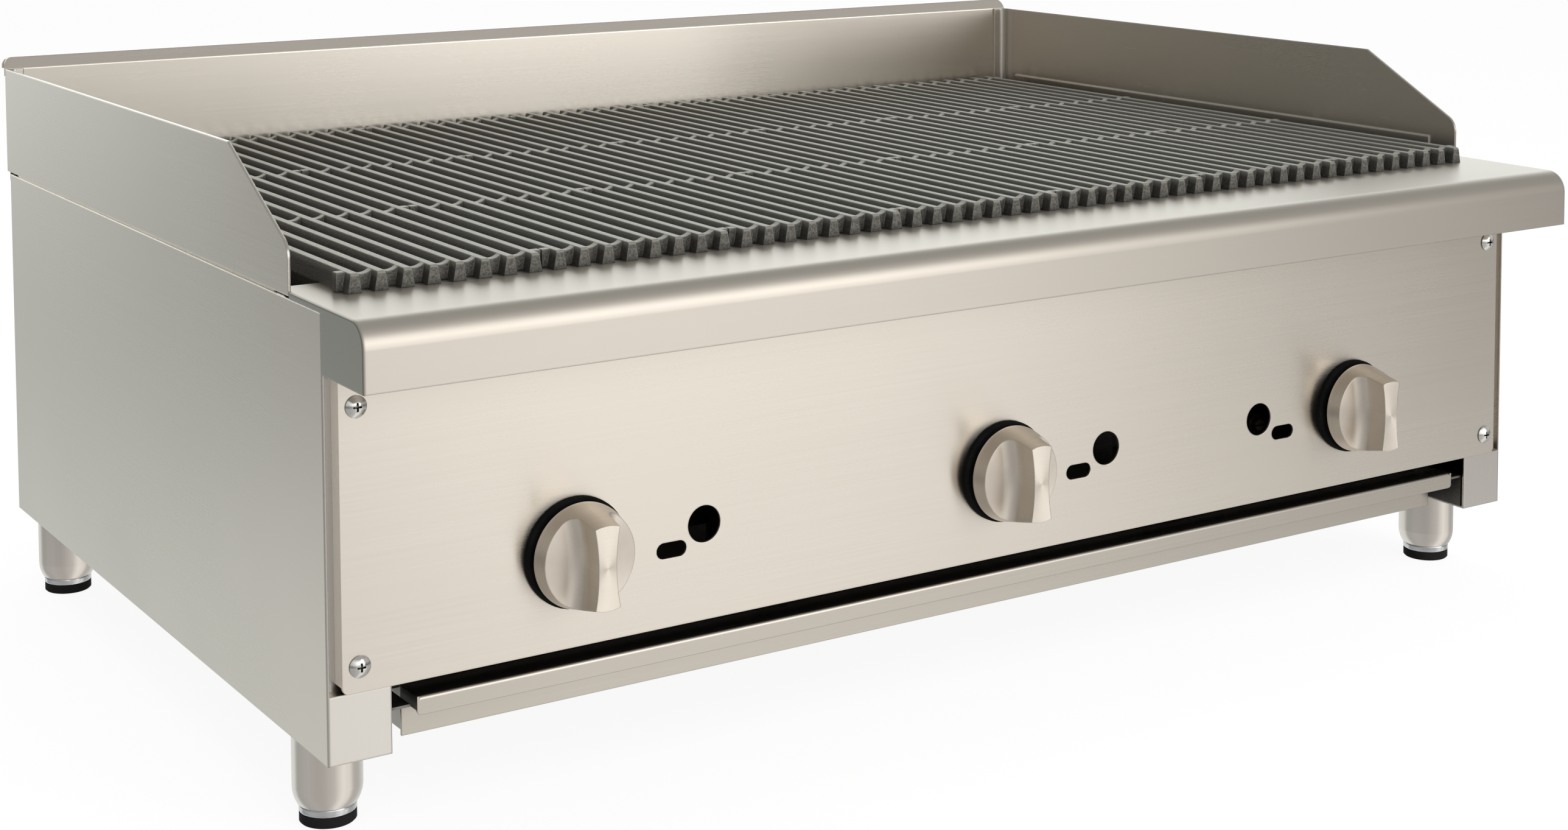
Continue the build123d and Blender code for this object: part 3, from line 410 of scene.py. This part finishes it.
def satin_nickel(name, centre):
    """Plated knob, brushed in circles round its axis, which runs front to back."""
    made, tree, shader = new_material(name)
    reach = vector_math(tree, "SUBTRACT", place(tree), tuple(centre))
    flat_reach = vector_math(tree, "MULTIPLY", reach, (1, 0, 1))
    radius = add_node(
        tree, "ShaderNodeVectorMath", {0: flat_reach}, operation="LENGTH"
    ).outputs["Value"]
    rings_at = add_node(tree, "ShaderNodeCombineXYZ", {"X": radius})
    rings = add_node(
        tree,
        "ShaderNodeTexNoise",
        {"Vector": rings_at.outputs[0], "Scale": 1800.0, "Detail": 3.0, "Roughness": 0.6},
    ).outputs["Fac"]
    grit = noise(tree, 2200.0, 2.0, 0.5)
    cloud = noise(tree, 60.0, 3.0, 0.5)
    tone = mix_colour(tree, 0.5, rings, cloud)
    shown = mix_colour(tree, remap(tree, tone, 0.35, 0.65, 0, 1), NICKEL, NICKEL_SHADE)
    facing = add_node(tree, "ShaderNodeNewGeometry").outputs["Normal"]
    # the rear, with its hub, is painted black as shade, and the panel mirrors it as a dark
    # crescent beside the knob
    rear_facing = add_node(tree, "ShaderNodeSeparateXYZ", {0: facing}).outputs["Y"]
    front_not_shaded = remap(tree, rear_facing, 0.3, 0.4, 1.0, 0.0)
    tree.links.new(mix_colour(tree, front_not_shaded, SHADE_BLACK, shown), shader.inputs["Base Color"])
    tree.links.new(front_not_shaded, shader.inputs["Metallic"])
    shader.inputs["Specular IOR Level"].default_value = 0.15
    tree.links.new(remap(tree, grit, 0.3, 0.7, 0.36, 0.46), shader.inputs["Roughness"])
    tree.links.new(
        bump(tree, grit, 0.00001, soft_edges(tree, KNOB_EDGE)), shader.inputs["Normal"]
    )
    round_axis = vector_math(tree, "CROSS_PRODUCT", Y_WAY, reach)
    across = vector_math(tree, "CROSS_PRODUCT", facing, round_axis)
    tree.links.new(vector_math(tree, "ADD", across, KNOB_NUDGE), shader.inputs["Tangent"])
    shader.inputs["Anisotropic"].default_value = 0.6
    return made


def turned_metal(name, light, shade, rough=0.22, recess_shade=0.0):
    """Turned or drawn metal with fine rings; its last argument is the widest recess painted dark
    as shade.
    """
    made, tree, shader = new_material(name)
    rings = noise(tree, 1.0, 3.0, 0.6, ROUND_Z)
    shown = mix_colour(tree, remap(tree, rings, 0.3, 0.7, 0, 1), shade, light)
    # recesses are painted dark, as shade
    if recess_shade:
        shown = shaded_in_recesses(tree, shown, recess_shade)
    tree.links.new(shown, shader.inputs["Base Color"])
    shader.inputs["Metallic"].default_value = 1.0
    tree.links.new(
        remap(tree, rings, 0.3, 0.7, rough - 0.04, rough + 0.06), shader.inputs["Roughness"]
    )
    tree.links.new(
        bump(tree, rings, 0.00002, soft_edges(tree, FINE_EDGE)), shader.inputs["Normal"]
    )
    return made


def dull_black(name, colour, rough, grain_scale=700.0, metallic=0.0):
    """Moulded or painted black, with a fine skin and dust in it."""
    made, tree, shader = new_material(name)
    skin = noise(tree, grain_scale, 3.0, 0.6)
    dust = noise(tree, 30.0, 4.0, 0.6)
    shown = mix_colour(
        tree, remap(tree, dust, 0.45, 0.8, 0, 0.25), colour, tuple(c + 0.03 for c in colour)
    )
    tree.links.new(shown, shader.inputs["Base Color"])
    shader.inputs["Metallic"].default_value = metallic
    shader.inputs["Specular IOR Level"].default_value = 0.1
    rough_now = remap(tree, skin, 0.3, 0.7, rough - 0.08, rough + 0.08)
    tree.links.new(rough_now, shader.inputs["Roughness"])
    tree.links.new(
        bump(tree, skin, 0.0001, soft_edges(tree, FINE_EDGE)), shader.inputs["Normal"]
    )
    return made


def stained_steel(name):
    """Aluminised sheet inside the firebox, straw and brown from the heat, and painted black as
    shade in its recesses.
    """
    made, tree, shader = new_material(name)
    stain = noise(tree, 14.0, 5.0, 0.65)
    fine = noise(tree, 1.0, 3.0, 0.6, ALONG_X)
    body = mix_colour(tree, remap(tree, stain, 0.35, 0.7, 0, 1), STRAW, BROWN)
    shown = mix_colour(tree, remap(tree, fine, 0.3, 0.7, 0, 0.3), body, BARE)
    tree.links.new(shaded_in_recesses(tree, shown, FIREBOX_RECESS_SHADE), shader.inputs["Base Color"])
    shader.inputs["Metallic"].default_value = 0.8
    tree.links.new(remap(tree, stain, 0.3, 0.7, 0.42, 0.68), shader.inputs["Roughness"])
    tree.links.new(bump(tree, stain, 0.0001), shader.inputs["Normal"])
    return made


def finishes_by_slot():
    """The finish of each material slot in the record."""
    return {
        "casing": brushed_steel("steel grained left to right", ALONG_X, X_WAY),
        "fasteners": turned_metal("plated screws", ZINC, ZINC_SHADE, 0.14, SCREW_RECESS_SHADE),
        "heat_stained_steel": stained_steel("heat stained sheet"),
        "grate_iron": cast_iron(
            "grate iron", GRATE_IRON, GRATE_WORN_AND_LIT, top=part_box("grate_1")[1].z
        ),
        "burner_iron": cast_iron("burner iron", BURNER_IRON, BURNER_WORN_AND_LIT, 0.7),
        # the bezel behind each knob is painted near black, as the shadow in the gap behind the
        # knob
        "bezel_black": dull_black("bezel black", BEZEL_SHADOW_BLACK, 0.85),
        "stem_steel": turned_metal("turned steel", BRIGHT_STEEL, BRIGHT_SHADE),
        "valve_brass": turned_metal("brass", BRASS, BRASS_SHADE, 0.4, GAS_RECESS_SHADE),
        "pilot_aluminium": turned_metal(
            "aluminium tube", BRIGHT_STEEL, BRIGHT_SHADE, 0.4, GAS_RECESS_SHADE
        ),
        "pipe_black": dull_black("black pipe", PIPE_BLACK, 0.5, 300.0, 0.4),
        "foot_chrome": turned_metal("chrome", CHROME, CHROME_SHADE, 0.12),
        "pad_rubber": dull_black("rubber", RUBBER, 0.75),
    }


def finishes_by_node(by_slot):
    """The finish of each node that differs from the rest of its slot."""
    steel_y = brushed_steel(
        "steel grained front to back", ALONG_Y, Y_WAY, ends=POST_PAINTED_TONE, edge=SIDE_EDGE
    )
    return {
        # the rail, the tray's handle and the tray are painted darker, as shade; the guard and the
        # legs lighter, as painted light
        "front_rail": brushed_steel(
            "steel of the rail", ALONG_X, X_WAY, RAIL_SHADED_STEEL, RAIL_SHADED_CLOUD, 0.32, RAIL_END_PAINTED_SHADE, RAIL_EDGE
        ),
        "guard_back": brushed_steel("steel of the guard", ALONG_X, X_WAY, GUARD_LIT_STEEL, STEEL),
        "control_panel": brushed_steel("steel of the panel", ALONG_X, X_WAY, ends=RETURN_PAINTED_LIGHT),
        "tray_handle": brushed_steel(
            "steel of the handle", ALONG_X, X_WAY, PULL_SHADED_STEEL, PULL_SHADED_CLOUD, recess_shade=PULL_RECESS_SHADE
        ),
        "drip_tray": brushed_steel(
            "steel of the tray", ALONG_X, X_WAY, TRAY_SHADED_STEEL, TRAY_SHADED_CLOUD, 0.4
        ),
        # the tray's rails get the dark heat-stained finish as painted shade
        "tray_rails": by_slot["heat_stained_steel"],
        "left_side_panel": steel_y,
        "right_side_panel": steel_y,
        "guard_left": steel_y,
        "guard_right": steel_y,
        "leg_sleeves": brushed_steel(
            "steel of the legs", ALONG_Z, Z_WAY, LEG_LIT_STEEL, LEG_LIT_CLOUD, 0.18
        ),
        **{f"knob_{n}": satin_nickel(f"satin nickel {n}", knob_centre(n)) for n in (1, 2, 3)},
    }


def paint_nodes():
    """Gives every CAD node its own finish, or else its slot's."""
    by_slot = finishes_by_slot()
    by_node = finishes_by_node(by_slot)
    for part in frame["record"]["subparts"]:
        node = frame["nodes"][part["node"]]
        node.data.materials.clear()
        node.data.materials.append(by_node.get(part["node"]) or by_slot[part["material_slot"]])


# ---------------------------------------------------------------- studio
def under_body(tree):
    """1 on the counter well under the casing, 0 where the counter lies open to the light."""
    low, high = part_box("left_side_panel")[0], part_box("right_side_panel")[1]
    spot = add_node(tree, "ShaderNodeNewGeometry").outputs["Position"]
    across = add_node(tree, "ShaderNodeSeparateXYZ", {0: spot})
    inside = 1.0
    sides = (("X", low.x, high.x, DARK_INSET_X), ("Y", low.y, high.y, DARK_INSET_Y))
    for axis, near, far, inset in sides:
        offset = calc(tree, "SUBTRACT", across.outputs[axis], (near + far) / 2)
        reach = (far - near) / 2 - inset
        covered = remap(tree, calc(tree, "ABSOLUTE", offset), reach - DARK_FADE, reach, 1, 0)
        inside = calc(tree, "MULTIPLY", inside, covered)
    return inside


def make_floor():
    """Plain white counter, a touch darker only where the grill stands on it."""
    bpy.ops.mesh.primitive_plane_add(size=FLOOR_SIZE)
    floor = bpy.context.object
    floor.name = "floor"
    material = bpy.data.materials.new("floor")
    material.use_nodes = True
    tree = material.node_tree
    tree.nodes.clear()
    path = add_node(tree, "ShaderNodeLightPath")
    matt = add_node(tree, "ShaderNodeBsdfDiffuse", {"Color": rgba(COUNTER)})
    white = add_node(
        tree, "ShaderNodeEmission", {"Color": rgba((1, 1, 1)), "Strength": COUNTER_GLOW}
    )
    shaded = calc(tree, "MAXIMUM", under_body(tree), OPEN_SHADING)
    seen = add_node(
        tree, "ShaderNodeMixShader", {0: shaded, 1: white.outputs[0], 2: matt.outputs[0]}
    )
    both = add_node(
        tree,
        "ShaderNodeMixShader",
        {0: path.outputs["Is Camera Ray"], 1: matt.outputs[0], 2: seen.outputs[0]},
    )
    add_node(tree, "ShaderNodeOutputMaterial", {"Surface": both.outputs[0]})
    floor.data.materials.append(material)
    floor.visible_glossy = False


def ramp(tree, value, stops):
    """Grey level read off a list of (position, level) stops, both 0 to 1."""
    made = add_node(tree, "ShaderNodeValToRGB", {"Fac": value})
    band = made.color_ramp
    band.interpolation = "EASE"
    band.elements[0].position, band.elements[1].position = stops[0][0], stops[-1][0]
    for spot, _ in stops[1:-1]:
        band.elements.new(spot)
    for element, (_, level) in zip(band.elements, stops):
        element.color = (level, level, level, 1)
    return made.outputs["Color"]


def make_world():
    """White to the camera; to the metal a soft studio, brightest in front and to the right."""
    world = bpy.data.worlds.new("studio")
    scene.world = world
    world.use_nodes = True
    tree = world.node_tree
    tree.nodes.clear()
    path = add_node(tree, "ShaderNodeLightPath")
    way = add_node(tree, "ShaderNodeTexCoord").outputs["Generated"]
    parts = add_node(tree, "ShaderNodeSeparateXYZ", {0: way})
    x, y, z = (parts.outputs[n] for n in "XYZ")
    bearing = calc(tree, "ARCTAN2", x, calc(tree, "MULTIPLY", y, -1.0))
    turn = remap(tree, bearing, -math.pi, math.pi, 0, 1)
    rise = calc(tree, "ARCSINE", z)
    height = remap(tree, rise, -math.pi / 2, math.pi / 2, 0, 1)

    def by_turn(levels):
        """Levels round the horizon, as a share of the brightest."""
        return ramp(tree, turn, [(0.5 + d / 360, level / BRIGHTEST) for d, level in levels])

    def by_height(levels, most=1.0):
        """Levels from straight down to straight up, as a share of most."""
        return ramp(tree, height, [(0.5 + d / 180, level / most) for d, level in levels])

    gain = by_height(GAIN_BY_HEIGHT, STRONGEST_GAIN)
    level = mix_colour(tree, 1.0, by_turn(HORIZON), gain, "MULTIPLY")
    dim = 1 / STRONGEST_GAIN
    ground = mix_colour(tree, 1.0, by_turn(GROUND), (dim, dim, dim), "MULTIPLY")
    level = mix_colour(tree, by_height(BELOW), level, ground)
    overhead = CEILING * dim / BRIGHTEST
    level = mix_colour(tree, by_height(OVERHEAD), level, (overhead, overhead, overhead))
    tint = mix_colour(tree, remap(tree, y, -0.2, 0.5, 0, 1), FRONT_TINT, BACK_TINT)
    level = mix_colour(tree, 1.0, level, tint, "MULTIPLY")
    studio = add_node(
        tree, "ShaderNodeBackground", {"Color": level, "Strength": STRONGEST_GAIN * BRIGHTEST}
    )
    white = add_node(tree, "ShaderNodeBackground", {"Color": rgba((1, 1, 1)), "Strength": 1.0})
    both = add_node(
        tree,
        "ShaderNodeMixShader",
        {0: path.outputs["Is Camera Ray"], 1: studio.outputs[0], 2: white.outputs[0]},
    )
    add_node(tree, "ShaderNodeOutputWorld", {"Surface": both.outputs[0]})


def soft_box(name, centre, target, width, height, watts):
    """An area light aimed at target, which the metal doesn't mirror."""
    light = bpy.data.lights.new(name, "AREA")
    light.shape = "RECTANGLE"
    light.size = width
    light.size_y = height
    light.energy = watts
    made = bpy.data.objects.new(name, light)
    made.location = centre
    made.rotation_euler = (Vector(target) - Vector(centre)).to_track_quat("-Z", "Y").to_euler()
    made.visible_glossy = False
    scene.collection.objects.link(made)


def make_camera():
    """The photographer's stand: low, in front and to the left, with a shifted lens."""
    lens = bpy.data.cameras.new("camera")
    lens.lens = LENS_MM
    lens.sensor_width = SENSOR_MM
    lens.shift_y = LENS_SHIFT
    made = bpy.data.objects.new("camera", lens)
    made.matrix_world = (
        Matrix.Translation(STAND)
        @ Matrix.Rotation(math.radians(HEADING), 4, "Z")
        @ Matrix.Rotation(math.radians(90 - DOWNWARD), 4, "X")
        @ Matrix.Rotation(math.radians(ROLL), 4, "Z")
    )
    scene.collection.objects.link(made)
    scene.camera = made
    # the lens is shifted only on the photographer's stand
    curve = lens.driver_add("shift_y")
    rule = curve.driver
    rule.type = "SCRIPTED"
    stand = rule.variables.new()
    stand.name = "x"
    stand.type = "TRANSFORMS"
    stand.targets[0].id = made
    stand.targets[0].transform_type = "LOC_X"
    rule.expression = f"{LENS_SHIFT} if abs(x - ({STAND[0]})) < 0.001 else 0"


def build():
    """Finishes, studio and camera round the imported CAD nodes."""
    paint_nodes()
    make_floor()
    make_world()
    soft_box(
        "key", centre=(0.6, -2.2, 2.4), target=(0, 0, 0.2), width=2.2, height=1.6, watts=40
    )
    soft_box(
        "top", centre=(-0.2, 0.4, 2.6), target=(0, 0, 0.3), width=2.4, height=1.8, watts=30
    )
    make_camera()
    scene.view_settings.view_transform = "Standard"


build()
